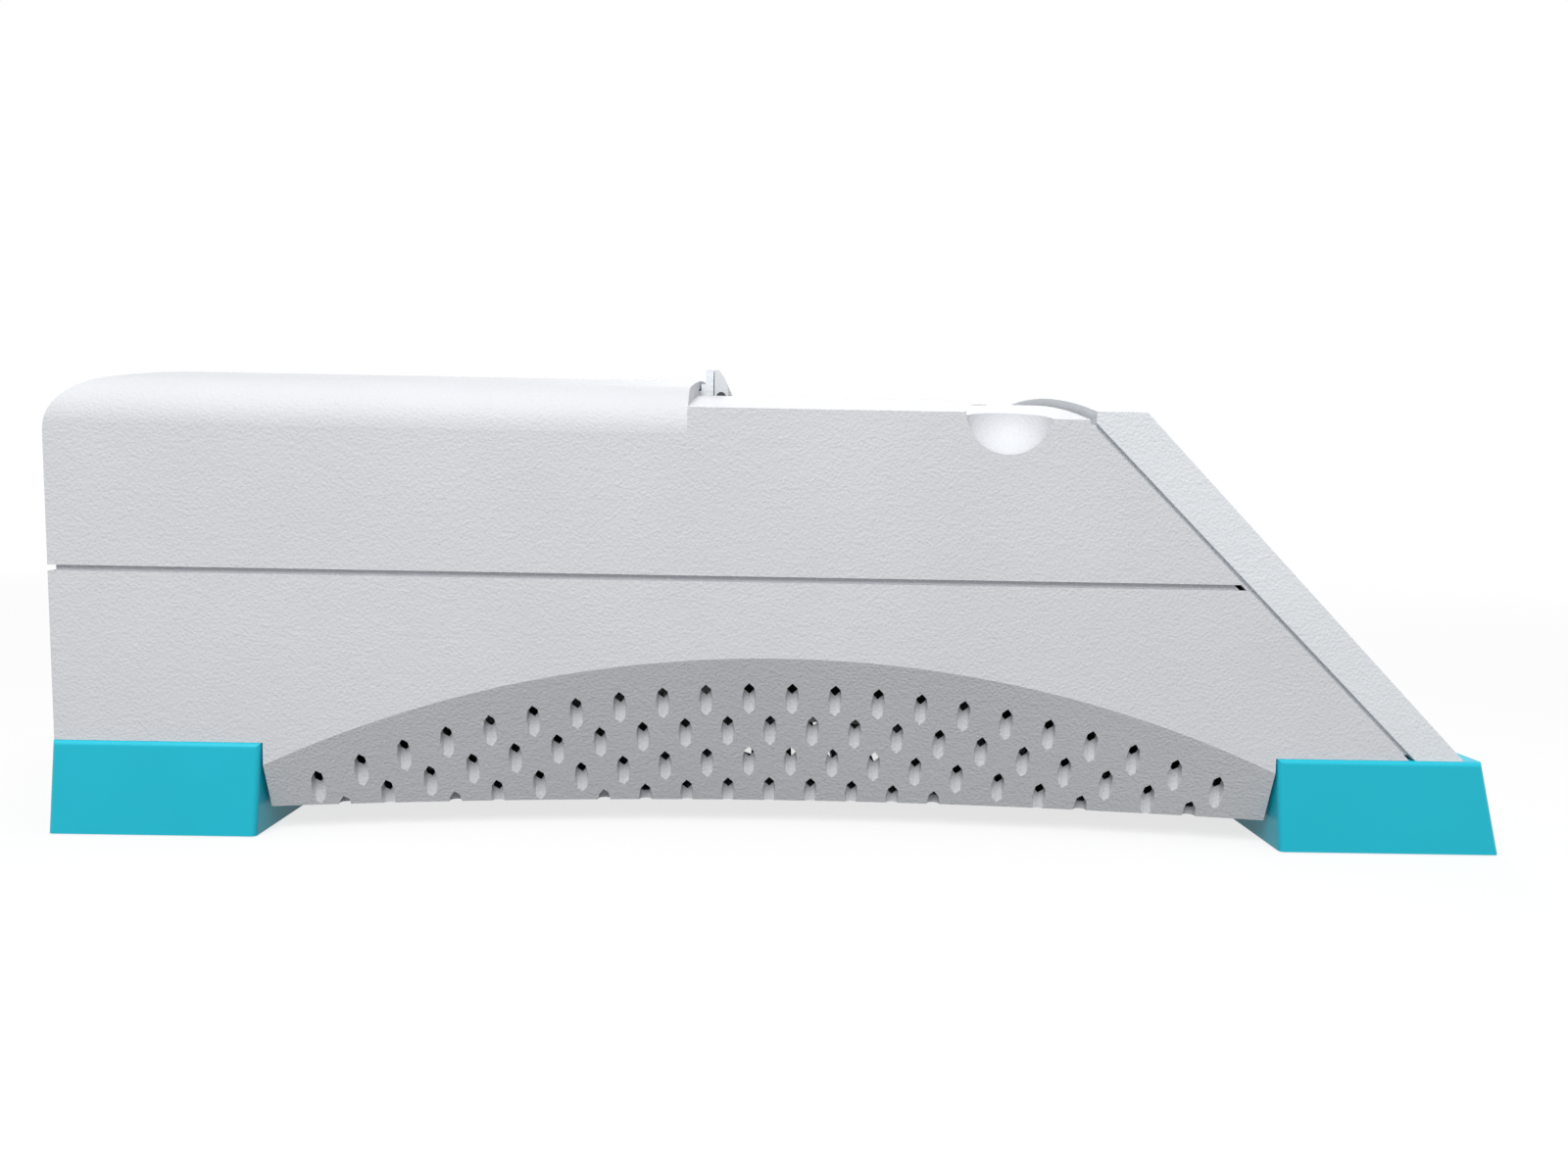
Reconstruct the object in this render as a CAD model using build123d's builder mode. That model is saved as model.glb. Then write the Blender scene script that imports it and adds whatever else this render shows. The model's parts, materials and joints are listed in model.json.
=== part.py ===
from build123d import *
import os
from math import cos, hypot, radians, sin, sqrt

os.makedirs("parts", exist_ok=True)

# Thermal cycler with a sliding heated cover. Millimetres, +X towards the control panel,
# +Z up, the table at Z = 0, and the middle of the width at Y = 0.

# Housing
half_width = 119.0
rear_x = -220.0
wall = 3.0
skin = 2.5
body_floor = 8.0
parting_z = 81.5
parting_gap = 1.8
lap = 3.9
lap_clearance = 0.1
crown_radius = 622.0
deck_top = 144.1
hood_rise = 4.7
front_deck_drop = 1.6
hood_mouth_x = -29.2
step_x = 54.5
front_deck_end_x = 90.9
slope_top_z = 130.1
slope_foot_x = 193.2
slope_foot_z = 29.2
nose_x = 209.3
hood_fillet = 15.0

# Arched recess and its vents
arch_radius = 367.0
arch_apex_z = 57.6
arch_lean = 0.42
arch_half_span = 200.0
vent_radius = 2.2
vent_sides = 8
vent_pitch = 13.3
vent_middle_x = -3.0
vent_first_depth = 5.6
vent_row_depth = 4.6
vent_counts = (22, 21, 16, 9)

# Finger scoops beside the front deck
scoop_radius = 13.2
scoop_x = 66.9
scoop_z = 133.4

# Corner feet
foot_rear_x = -220.2
foot_front_x = 215.3
foot_rise = 0.3
foot_length = 62.8
foot_depth = 62.0
foot_proud = 1.0
foot_edge = 1.5
front_foot_flare = 7.2
rear_foot_flare = 2.3
foot_inner_flare = 2.0
seat_gap = 0.3
pad_radius = 11.0
pad_height = 3.0
foot_screw_radius = 2.0
foot_screw_head = 3.8

# Front bezel and control panel
bezel_gap = 1.35
bezel_rise = 2.5
bezel_rear_x = 92.8
bezel_top_x = 107.8
bezel_top_z = 133.6
bezel_foot_x = 210.1
bezel_wall = 3.0
window_width = 112.0
window_height = 46.0
window_across = -48.0
window_up = 30.0
window_thick = 1.5
window_lip = 2.0
lcd_depth = 7.0
key_width = 14.0
key_height = 11.0
key_pitch = 18.0
key_row_pitch = 15.0
key_clearance = 0.4
key_proud = 2.0
key_travel = 1.5
key_flange = 1.5
key_flange_thick = 1.2
board_thick = 1.6

# Bay, sample block and the stack under it
track_half = 69.5
track_floor = 130.5
track_rear_x = -208.0
block_x = 17.5
block_length = 72.0
block_width = 112.0
block_top = 131.5
block_height = 17.0
block_flange = 4.0
block_foot = 4.0
block_gap = 1.0
well_pitch = 9.0
well_rows = 8
well_columns = 12
well_radius = 2.9
well_depth = 13.5
peltier_thick = 4.0
peltier_size = 30.0
sink_length = 110.0
sink_width = 160.0
sink_base = 8.0
sink_fin_depth = 44.5
sink_fin = 1.6
sink_fin_pitch = 5.0
fan_size = 80.0
fan_height = 25.0
fan_spacing = 82.0
fan_bore_radius = 38.0
fan_hub_radius = 16.0
fan_shaft_radius = 2.0
fan_blades = 7
running_fit = 0.05

# Flat sides that stand in for small round things, so that they stay light
small_sides = 8
round_sides = 12
pad_sides = 16
bore_sides = 24

# Chassis, supply, boards and the rear wall
chassis_z = 14.0
chassis_thick = 2.0
chassis_length = 298.0
chassis_width = 180.0
tail_length = 58.0
tail_width = 104.0
boss_radius = 5.0
chassis_boss_x = (-140.0, 140.0)
chassis_boss_y = 78.0
tail_boss_x = -200.0
tail_boss_y = 44.0
slot_count = 7
slot_pitch = 10.0
slot_width = 5.0
slot_length = 66.0
plate_screw_radius = 1.8
plate_screw_head = 3.4
bracket_thick = 2.0
bracket_width = 110.0
bracket_foot = 16.0
supply_x = -190.0
supply_length = 96.0
supply_width = 100.0
supply_height = 46.0
supply_sheet = 1.5
main_board_x = 80.0
main_board_length = 66.0
main_board_width = 150.0
standoff_height = 10.0
standoff_radius = 3.0
inlet_y = 32.0
inlet_z = 52.0
inlet_width = 28.0
inlet_height = 36.0
inlet_depth = 24.0
plug_width = 24.4
plug_height = 16.4
plug_depth = 18.0
fuse_width = 22.0
fuse_height = 8.0
fuse_depth = 18.0
flange_thick = 1.8
flange_margin = 3.0
switch_y = -4.0
switch_z = 58.0
switch_width = 13.0
switch_height = 19.0
switch_depth = 14.0
rocker_width = 9.0
rocker_height = 15.0
rocker_tilt = 8.0
port_y = -40.0
port_z = 52.0
port_width = 17.0
port_height = 8.6
port_depth = 12.0

# Heated cover
cap_length = 4.2
cap_drop = 0.9
cover_length = 84.0
cover_half = 66.2
cover_clearance = 0.8
cover_bottom = 132.0
cover_wall = 3.0
rail_width = 3.0
rail_height = 4.0
rail_clearance = 0.3
lever_thick = 4.7
lever_top = 149.4
lever_pivot_z = 140.2
lever_half = 66.0
pin_radius = 1.6
lug_width = 6.0
lug_spacing = 80.0
platen_length = 76.0
platen_width = 116.0
platen_thick = 3.0
platen_drop = 3.0
platen_bottom = 137.2
mat_thick = 1.0

# Worked-out places
lower_top = parting_z - parting_gap / 2
upper_bottom = parting_z + parting_gap / 2
hood_top = deck_top + hood_rise
front_deck_top = deck_top - front_deck_drop
bezel_crown = front_deck_top + bezel_rise
slope_run = slope_foot_x - front_deck_end_x
slope_drop = slope_top_z - slope_foot_z
slope_length = hypot(slope_run, slope_drop)
slope_normal = (slope_drop / slope_length, slope_run / slope_length)
cut_z = 200.0
lap_z = lower_top - lap / 2
arch_centre_z = arch_apex_z - arch_radius


def slope_x(z, inset=0.0):
    """X of the sloped front of the housing at height z, moved inwards by inset."""
    return front_deck_end_x + (slope_top_z - z) * slope_run / slope_drop - inset / slope_normal[0]


def crown_z(top, y):
    """Height at Y of a crowned surface whose middle is at top."""
    return top - crown_radius + sqrt(crown_radius**2 - y**2)


def crowned(x, half, bottom, top):
    """Upright section across the width at X, with a crowned top edge."""
    with BuildSketch(Plane.YZ.offset(x)) as section:
        with BuildLine():
            Polyline(
                (-half, crown_z(top, half)),
                (-half, bottom),
                (half, bottom),
                (half, crown_z(top, half)),
            )
            ThreePointArc((half, crown_z(top, half)), (0, top), (-half, crown_z(top, half)))
        make_face()
    return section.sketch


def side_view(*points):
    """Closed outline in the side view, from (X, Z) points, to be extruded both ways."""
    with BuildSketch(Plane.XZ) as outline:
        with BuildLine():
            Polyline(*points, close=True)
        make_face()
    return outline.sketch


def block_between(x, y, z, mode=Mode.ADD):
    """Box from its low and high X, Y and Z."""
    with Locations(((x[0] + x[1]) / 2, (y[0] + y[1]) / 2, (z[0] + z[1]) / 2)):
        Box(x[1] - x[0], y[1] - y[0], z[1] - z[0], mode=mode)


def both_sides(low, high):
    """The two Y ranges of a thing that both sides have."""
    return ((-high, -low), (low, high))


def arch_fan(shift, mode):
    """Leaning wall of the arched recess on both sides, moved inwards by shift. It is a fan of
    narrow flat facets towards a point at the arch's centre, so that its vents stay light."""
    facet = vent_pitch / 2
    count = int(arch_half_span / facet)
    steps = [vent_middle_x + (step + 0.5) * facet for step in range(-count - 1, count + 1)]
    rim = [(x, arch_centre_z + sqrt(arch_radius**2 - x**2)) for x in steps]
    for side in (-1, 1):
        face_y = side * (half_width - shift)
        apex = Vertex(0, face_y - side * arch_radius * arch_lean, arch_centre_z)
        with BuildSketch(Plane.XZ.offset(-face_y)) as outline:
            with BuildLine():
                Polyline(*rim, (0, arch_centre_z), close=True)
            make_face()
        loft([outline.sketch.face(), apex], mode=mode)


# Lower housing: an open tray whose sides are arched in under the body, with upright vents
# through the leaning wall, and notches at its corners for the feet
notch_z = slope_foot_z
rear_notch_x = foot_rear_x + foot_length + seat_gap
front_notch_x = foot_front_x - foot_length - seat_gap
notch_y = half_width + foot_proud - foot_depth
notches = ((rear_x - wall, rear_notch_x), (front_notch_x, nose_x + wall))
lean_shift = skin * hypot(1, arch_lean)

# Corner feet, which flare towards the table, as outlines in the side view
foot_ends = {
    "rear": (
        (foot_rear_x, notch_z),
        (foot_rear_x + foot_length, notch_z),
        (foot_rear_x + foot_length - foot_inner_flare, foot_rise),
        (foot_rear_x - rear_foot_flare, foot_rise),
    ),
    "front": (
        (foot_front_x - foot_length, notch_z),
        (foot_front_x, notch_z),
        (foot_front_x + front_foot_flare, foot_rise),
        (foot_front_x - foot_length + foot_inner_flare, foot_rise),
    ),
}
foot_middle_y = notch_y + seat_gap + (foot_depth - seat_gap) / 2
foot_middles = {
    end: (outline[0][0] + foot_length / 2, foot_middle_y) for end, outline in foot_ends.items()
}
foot_places = [(x, side * y) for x, y in foot_middles.values() for side in (-1, 1)]

boss_places = [(x, side * chassis_boss_y) for x in chassis_boss_x for side in (-1, 1)]
boss_places += [(tail_boss_x, side * tail_boss_y) for side in (-1, 1)]
rear_openings = (
    ((inlet_y, inlet_z), (inlet_width + 0.4, inlet_height + 0.4)),
    ((switch_y, switch_z), (switch_width + 0.4, switch_height + 0.4)),
    ((port_y, port_z), (port_width + 0.6, port_height + 0.6)),
)

with BuildPart() as lower_cavity:
    extrude(
        side_view(
            (rear_x + wall, body_floor + skin),
            (rear_x + wall, cut_z),
            (slope_x(cut_z, wall), cut_z),
            (slope_x(notch_z + wall, wall), notch_z + wall),
            (slope_x(notch_z + wall, wall), notch_z - skin),
            (nose_x - wall, notch_z - skin),
            (nose_x - wall, body_floor + skin),
        ),
        amount=half_width - wall,
        both=True,
    )
    for x_range in notches:
        for y_range in both_sides(notch_y - skin, half_width):
            block_between(
                (x_range[0] - skin, x_range[1] + skin),
                y_range,
                (0, notch_z + skin),
                mode=Mode.SUBTRACT,
            )
    arch_fan(lean_shift, Mode.SUBTRACT)

with BuildPart() as lower_housing:
    extrude(
        side_view(
            (rear_x, body_floor),
            (rear_x, lower_top),
            (slope_x(lower_top), lower_top),
            (slope_foot_x, notch_z),
            (nose_x, notch_z),
            (nose_x, body_floor),
        ),
        amount=half_width,
        both=True,
    )
    for x_range in notches:
        for y_range in both_sides(notch_y, half_width + wall):
            block_between(x_range, y_range, (0, notch_z), mode=Mode.SUBTRACT)
    arch_fan(0.0, Mode.SUBTRACT)
    add(lower_cavity.part, mode=Mode.SUBTRACT)
    # Rebate inside the top edge, which takes the upper housing's tongue
    extrude(
        side_view(
            (rear_x + wall / 2, lap_z),
            (rear_x + wall / 2, cut_z),
            (slope_x(cut_z, wall / 2), cut_z),
            (slope_x(lap_z, wall / 2), lap_z),
        ),
        amount=half_width - wall / 2,
        both=True,
        mode=Mode.SUBTRACT,
    )
    # Upright vents through the leaning walls, in staggered rows
    for row, count in enumerate(vent_counts):
        inboard = half_width - vent_first_depth - row * vent_row_depth
        for side in (-1, 1):
            with BuildSketch(Plane.XY):
                with Locations((vent_middle_x, side * inboard)):
                    with GridLocations(vent_pitch, vent_pitch, count, 1):
                        RegularPolygon(vent_radius, vent_sides)
        extrude(amount=arch_apex_z, mode=Mode.SUBTRACT)

    # Bosses that carry the chassis plate
    with BuildSketch(Plane.XY.offset(body_floor)):
        with Locations(*boss_places):
            RegularPolygon(boss_radius, small_sides)
    extrude(amount=chassis_z - body_floor)
    # Air intake under the fans, screw holes over the feet, and the openings of the rear wall
    with BuildSketch(Plane.XY):
        with Locations((block_x, 0)):
            with GridLocations(slot_pitch, fan_spacing, slot_count, 2):
                Rectangle(slot_width, slot_length)
    extrude(amount=body_floor + skin + 0.5, mode=Mode.SUBTRACT)
    with BuildSketch(Plane.XY):
        with Locations(*foot_places):
            RegularPolygon(foot_screw_radius + running_fit, small_sides, major_radius=False)
    extrude(amount=notch_z + skin + 0.5, mode=Mode.SUBTRACT)
    for (across, up), (width, height) in rear_openings:
        block_between(
            (rear_x - 1.0, rear_x + wall + 0.5),
            (across - width / 2, across + width / 2),
            (up - height / 2, up + height / 2),
            Mode.SUBTRACT,
        )
lower_housing.part.label = "lower_housing"
export_step(lower_housing.part, "parts/lower_housing.step")

# Upper housing: hood over the parked cover, crowned decks beside the bay, the track that the
# cover runs in, finger scoops, and a tongue that drops into the lower housing
well_end_x = step_x + cap_length + lever_top - lever_pivot_z + 2.0
well_floor = lever_pivot_z - lever_thick / 2 - 0.7
tub = ((track_rear_x - skin, step_x + skin), (-track_half - skin, track_half + skin))
well_tub = ((step_x, well_end_x + skin), tub[1])



def round_hood(hood, radius):
    """Rounds the rear and side edges on top of the hood, the only block in the part so far."""
    rear_face = hood.faces().sort_by(Axis.X)[0]
    rear_and_sides = [
        rear_face.edges().sort_by(Axis.Z)[-1],
        *hood.edges().filter_by(Axis.X).group_by(Axis.Z)[-1],
    ]
    fillet(rear_and_sides, radius)


with BuildPart() as upper_cavity:
    roof_end = hood_mouth_x - wall
    extrude(
        crowned(rear_x + wall, half_width - wall, lap_z - wall, hood_top - skin),
        amount=roof_end - rear_x - wall,
    )
    round_hood(upper_cavity, hood_fillet - wall)
    extrude(
        crowned(roof_end, half_width - wall, lap_z - wall, deck_top - skin),
        amount=step_x - wall - roof_end,
    )
    extrude(
        crowned(step_x - wall, half_width - wall, lap_z - wall, front_deck_top - skin),
        amount=front_deck_end_x - step_x,
    )
    extrude(
        side_view(
            (step_x, slope_top_z),
            (slope_x(slope_top_z, wall), slope_top_z),
            (slope_x(lap_z - wall, wall), lap_z - wall),
            (step_x, lap_z - wall),
        ),
        amount=half_width - wall,
        both=True,
    )
    block_between(*tub, (track_floor - skin, cut_z), mode=Mode.SUBTRACT)
    block_between(*well_tub, (well_floor - skin, cut_z), mode=Mode.SUBTRACT)
    for side in (-1, 1):
        with Locations((scoop_x, side * half_width, scoop_z)):
            Sphere(scoop_radius + skin, mode=Mode.SUBTRACT)

with BuildPart() as upper_housing:
    extrude(
        crowned(rear_x, half_width, upper_bottom, hood_top), amount=hood_mouth_x - rear_x
    )
    round_hood(upper_housing, hood_fillet)
    extrude(
        crowned(hood_mouth_x, half_width, upper_bottom, deck_top), amount=step_x - hood_mouth_x
    )
    extrude(
        crowned(step_x, half_width, upper_bottom, front_deck_top),
        amount=front_deck_end_x - step_x,
    )
    extrude(
        side_view(
            (front_deck_end_x, slope_top_z),
            (slope_x(upper_bottom), upper_bottom),
            (front_deck_end_x, upper_bottom),
        ),
        amount=half_width,
        both=True,
    )
    # Tongue, which stands on the ledge inside the lower housing
    extrude(
        side_view(
            (rear_x + wall / 2 + lap_clearance, lap_z),
            (rear_x + wall / 2 + lap_clearance, upper_bottom),
            (slope_x(upper_bottom, wall / 2 + lap_clearance), upper_bottom),
            (slope_x(lap_z, wall / 2 + lap_clearance), lap_z),
        ),
        amount=half_width - wall / 2 - lap_clearance,
        both=True,
    )
    add(upper_cavity.part, mode=Mode.SUBTRACT)
    # Track of the cover: a tunnel under the hood that runs on as the open bay
    extrude(
        crowned(track_rear_x, track_half, track_floor, hood_top - skin),
        amount=hood_mouth_x - track_rear_x,
        mode=Mode.SUBTRACT,
    )
    block_between(
        (hood_mouth_x, step_x), (-track_half, track_half), (track_floor, cut_z), Mode.SUBTRACT
    )
    block_between(
        (step_x, well_end_x), (-track_half, track_half), (well_floor, cut_z), Mode.SUBTRACT
    )
    block_opening = (block_length / 2 + block_gap, block_width / 2 + block_gap)
    block_between(
        (block_x - block_opening[0], block_x + block_opening[0]),
        (-block_opening[1], block_opening[1]),
        (track_floor - skin, track_floor),
        Mode.SUBTRACT,
    )
    for side in (-1, 1):
        with Locations((scoop_x, side * half_width, scoop_z)):
            Sphere(scoop_radius, mode=Mode.SUBTRACT)

upper_housing.part.label = "upper_housing"
export_step(upper_housing.part, "parts/upper_housing.step")

# Corner feet, with a pad and a screw under each
foot_screw_top = notch_z + skin + 0.3
foot_head_z = foot_rise + pad_height + 6.0

for end, outline in foot_ends.items():
    for side, direction in (("right", -1), ("left", 1)):
        middle = (foot_middles[end][0], direction * foot_middles[end][1])
        with BuildPart() as foot:
            with BuildSketch(Plane.XZ.offset(-direction * (notch_y + seat_gap))):
                with BuildLine():
                    Polyline(*outline, close=True)
                make_face()
            extrude(amount=-direction * (foot_depth - seat_gap))
            outer_face = foot.faces().sort_by(Axis.Y)[-1 if direction > 0 else 0]
            fillet(outer_face.edges().sort_by(Axis.Z)[1:], foot_edge)
            # Stepped hole for the pad, the screw's head and its shank
            for radius, top, sides in (
                (pad_radius, foot_rise + pad_height, pad_sides),
                (foot_screw_head, foot_head_z, small_sides),
                (foot_screw_radius, notch_z + wall, small_sides),
            ):
                with BuildSketch(Plane.XY):
                    with Locations(middle):
                        RegularPolygon(radius + seat_gap, sides, major_radius=False)
                extrude(amount=top, mode=Mode.SUBTRACT)
        foot.part.label = f"foot_{end}_{side}"
        export_step(foot.part, f"parts/foot_{end}_{side}.step")

with BuildPart() as foot_pads:
    with BuildSketch(Plane.XY):
        with Locations(*foot_places):
            RegularPolygon(pad_radius, pad_sides)
    extrude(amount=foot_rise + pad_height)
foot_pads.part.label = "foot_pads"
export_step(foot_pads.part, "parts/foot_pads.step")

with BuildPart() as foot_screws:
    with BuildSketch(Plane.XY.offset(foot_head_z)):
        with Locations(*foot_places):
            RegularPolygon(foot_screw_radius, small_sides)
    extrude(amount=foot_screw_top - foot_head_z)
    with BuildSketch(Plane.XY.offset(foot_head_z)):
        with Locations(*foot_places):
            RegularPolygon(foot_screw_head, small_sides)
    extrude(amount=-foot_screw_head / 2)
foot_screws.part.label = "foot_screws"
export_step(foot_screws.part, "parts/foot_screws.step")

# Front bezel: a tray with an open back, whose rim stands off the sloped housing on a tongue
front_run = bezel_foot_x - bezel_top_x
front_drop = bezel_top_z - slope_foot_z
front_length = hypot(front_run, front_drop)
front_normal = (front_drop / front_length, front_run / front_length)
panel = Plane(
    origin=((bezel_top_x + bezel_foot_x) / 2, 0, (bezel_top_z + slope_foot_z) / 2),
    x_dir=(0, 1, 0),
    z_dir=(front_normal[0], 0, front_normal[1]),
)
pocket_top_z = slope_top_z - 2.0
pocket_foot_z = slope_foot_z + bezel_wall


def front_x(z, inset=0.0):
    """X of the panel's front plane at height z, moved inwards by inset."""
    return bezel_top_x + (bezel_top_z - z) * front_run / front_drop - inset / front_normal[0]


key_board_depth = bezel_wall + seat_gap + key_flange_thick + key_travel + seat_gap
pad_columns = (40.0, 40.0 + key_pitch, 40.0 + 2 * key_pitch)
pad_rows = [45.0 - row * key_row_pitch for row in range(4)]
arrows_x = window_across
arrows_y = -22.0
keys = {
    "key_7": (pad_columns[0], pad_rows[0]),
    "key_8": (pad_columns[1], pad_rows[0]),
    "key_9": (pad_columns[2], pad_rows[0]),
    "key_4": (pad_columns[0], pad_rows[1]),
    "key_5": (pad_columns[1], pad_rows[1]),
    "key_6": (pad_columns[2], pad_rows[1]),
    "key_1": (pad_columns[0], pad_rows[2]),
    "key_2": (pad_columns[1], pad_rows[2]),
    "key_3": (pad_columns[2], pad_rows[2]),
    "key_stop": (pad_columns[0], pad_rows[3]),
    "key_0": (pad_columns[1], pad_rows[3]),
    "key_enter": (pad_columns[2], pad_rows[3]),
    "key_up": (arrows_x, arrows_y + key_row_pitch),
    "key_down": (arrows_x, arrows_y - key_row_pitch),
    "key_left": (arrows_x - key_pitch, arrows_y),
    "key_right": (arrows_x + key_pitch, arrows_y),
}

with BuildPart() as front_bezel:
    extrude(
        side_view(
            (bezel_rear_x, slope_top_z),
            (bezel_rear_x, bezel_crown),
            (front_x(bezel_crown), bezel_crown),
            (front_x(slope_foot_z), slope_foot_z),
            (slope_x(slope_foot_z, -bezel_gap), slope_foot_z),
        ),
        amount=half_width,
        both=True,
    )
    extrude(
        crowned(rear_x, half_width, slope_foot_z, bezel_crown),
        amount=bezel_foot_x - rear_x + wall,
        mode=Mode.INTERSECT,
    )
    extrude(
        side_view(
            (slope_x(pocket_top_z + wall / 2), pocket_top_z + wall / 2),
            (slope_x(pocket_top_z + wall / 2, -bezel_wall), pocket_top_z + wall / 2),
            (slope_x(pocket_foot_z - wall / 2, -bezel_wall), pocket_foot_z - wall / 2),
            (slope_x(pocket_foot_z - wall / 2), pocket_foot_z - wall / 2),
        ),
        amount=half_width - wall / 2,
        both=True,
    )
    extrude(
        side_view(
            (slope_x(pocket_top_z, wall), pocket_top_z),
            (front_x(pocket_top_z, bezel_wall), pocket_top_z),
            (front_x(pocket_foot_z, bezel_wall), pocket_foot_z),
            (slope_x(pocket_foot_z, wall), pocket_foot_z),
        ),
        amount=half_width - bezel_wall,
        both=True,
        mode=Mode.SUBTRACT,
    )
    with BuildSketch(panel):
        with Locations((window_across, window_up)):
            Rectangle(window_width, window_height)
    extrude(amount=-window_thick, mode=Mode.SUBTRACT)
    with BuildSketch(panel):
        with Locations((window_across, window_up)):
            Rectangle(window_width - 2 * window_lip, window_height - 2 * window_lip)
        with Locations(*keys.values()):
            Rectangle(key_width + 2 * key_clearance, key_height + 2 * key_clearance)
    extrude(amount=-bezel_wall, mode=Mode.SUBTRACT)
    # Posts that carry the key board
    with BuildSketch(panel.offset(-bezel_wall)):
        with Locations((-100, -40), (100, -40), (22, 52), (100, 52)):
            RegularPolygon(2.5, small_sides)
    extrude(amount=bezel_wall - key_board_depth)
front_bezel.part.label = "front_bezel"
export_step(front_bezel.part, "parts/front_bezel.step")

with BuildPart() as display_window:
    with BuildSketch(panel.offset(-window_thick)):
        with Locations((window_across, window_up)):
            Rectangle(window_width - 0.4, window_height - 0.4)
    extrude(amount=window_thick - 0.2)
display_window.part.label = "display_window"
export_step(display_window.part, "parts/display_window.step")

with BuildPart() as lcd_module:
    with BuildSketch(panel.offset(-bezel_wall)):
        with Locations((window_across, window_up)):
            Rectangle(window_width - window_lip, window_height - window_lip)
    extrude(amount=-lcd_depth)
lcd_module.part.label = "lcd_module"
export_step(lcd_module.part, "parts/lcd_module.step")

with BuildPart() as key_board:
    with BuildSketch(panel.offset(-key_board_depth)):
        with Locations((0, -20)):
            Rectangle(210, 50)
        with Locations((60, 30)):
            Rectangle(90, 54)
    extrude(amount=-board_thick)
key_board.part.label = "key_board"
export_step(key_board.part, "parts/key_board.step")

for name, place in keys.items():
    with BuildPart() as key:
        with BuildSketch(panel.offset(-bezel_wall - seat_gap)):
            with Locations(place):
                Rectangle(key_width, key_height)
        extrude(amount=bezel_wall + seat_gap + key_proud)
        chamfer(key.faces().filter_by(panel).sort_by(Axis.Z)[-1].edges(), 0.6)
        with BuildSketch(panel.offset(-bezel_wall - seat_gap)):
            with Locations(place):
                Rectangle(key_width + 2 * key_flange, key_height + 2 * key_flange)
        extrude(amount=-key_flange_thick)
    key.part.label = name
    export_step(key.part, f"parts/{name}.step")

# Heated cover: a carriage that straddles two rails, closed in front by an end cap
carriage_front_x = hood_mouth_x + 0.5
carriage_rear_x = carriage_front_x - cover_length
carriage_top = hood_top - skin - cover_clearance
rail_inner = track_half - rail_width
rail_top = track_floor + rail_height
cap_front_x = carriage_front_x + cap_length
lever_back_x = cap_front_x + rail_clearance
lever_pivot_x = lever_back_x + lever_thick / 2
lever_bore = pin_radius + running_fit

for side, direction in (("right", -1), ("left", 1)):
    with BuildPart() as rail:
        block_between(
            (track_rear_x + 1.0, step_x - 0.5),
            sorted((direction * rail_inner, direction * track_half)),
            (track_floor, rail_top),
        )
    rail.part.label = f"cover_rail_{side}"
    export_step(rail.part, f"parts/cover_rail_{side}.step")

with BuildPart() as cover_carriage:
    extrude(
        crowned(carriage_rear_x, cover_half, cover_bottom, carriage_top), amount=cover_length
    )
    for y_range in both_sides(cover_half, track_half - rail_clearance):
        block_between(
            (carriage_rear_x, carriage_front_x),
            y_range,
            (rail_top + rail_clearance, rail_top + rail_clearance + cover_wall),
        )
    extrude(
        crowned(
            carriage_rear_x + cover_wall,
            cover_half - cover_wall,
            cover_bottom - 1.0,
            carriage_top - 2.0,
        ),
        amount=cover_length,
        mode=Mode.SUBTRACT,
    )
cover_carriage.part.label = "cover_carriage"
export_step(cover_carriage.part, "parts/cover_carriage.step")

with BuildPart() as cover_end_cap:
    extrude(
        crowned(carriage_front_x, cover_half, cover_bottom, hood_top - cap_drop),
        amount=cap_length,
    )
    # Underside raised between the side walls, so that it passes over the tubes in the block
    block_between(
        (carriage_front_x - 1.0, cap_front_x + 1.0),
        (-cover_half + cover_wall, cover_half - cover_wall),
        (cover_bottom - 1.0, platen_bottom - 0.7),
        Mode.SUBTRACT,
    )
    # Upright plate behind the lever, and the two lugs that carry its pin
    block_between(
        (cap_front_x - 2.6, cap_front_x),
        (-lever_half, lever_half),
        (lever_pivot_z, lever_top - 0.1),
    )
    for side in (-1, 1):
        with BuildSketch(Plane.XZ.offset(-side * lug_spacing / 2 - lug_width / 2)):
            with Locations((lever_pivot_x, lever_pivot_z)):
                Circle(pin_radius + 0.7)
            with Locations(((cap_front_x + lever_pivot_x) / 2, lever_pivot_z)):
                Rectangle(lever_pivot_x - cap_front_x, 2 * pin_radius + 1.0)
            with Locations((lever_pivot_x, lever_pivot_z)):
                Circle(lever_bore, mode=Mode.SUBTRACT)
        extrude(amount=lug_width)
cover_end_cap.part.label = "cover_end_cap"
export_step(cover_end_cap.part, "parts/cover_end_cap.step")

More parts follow.
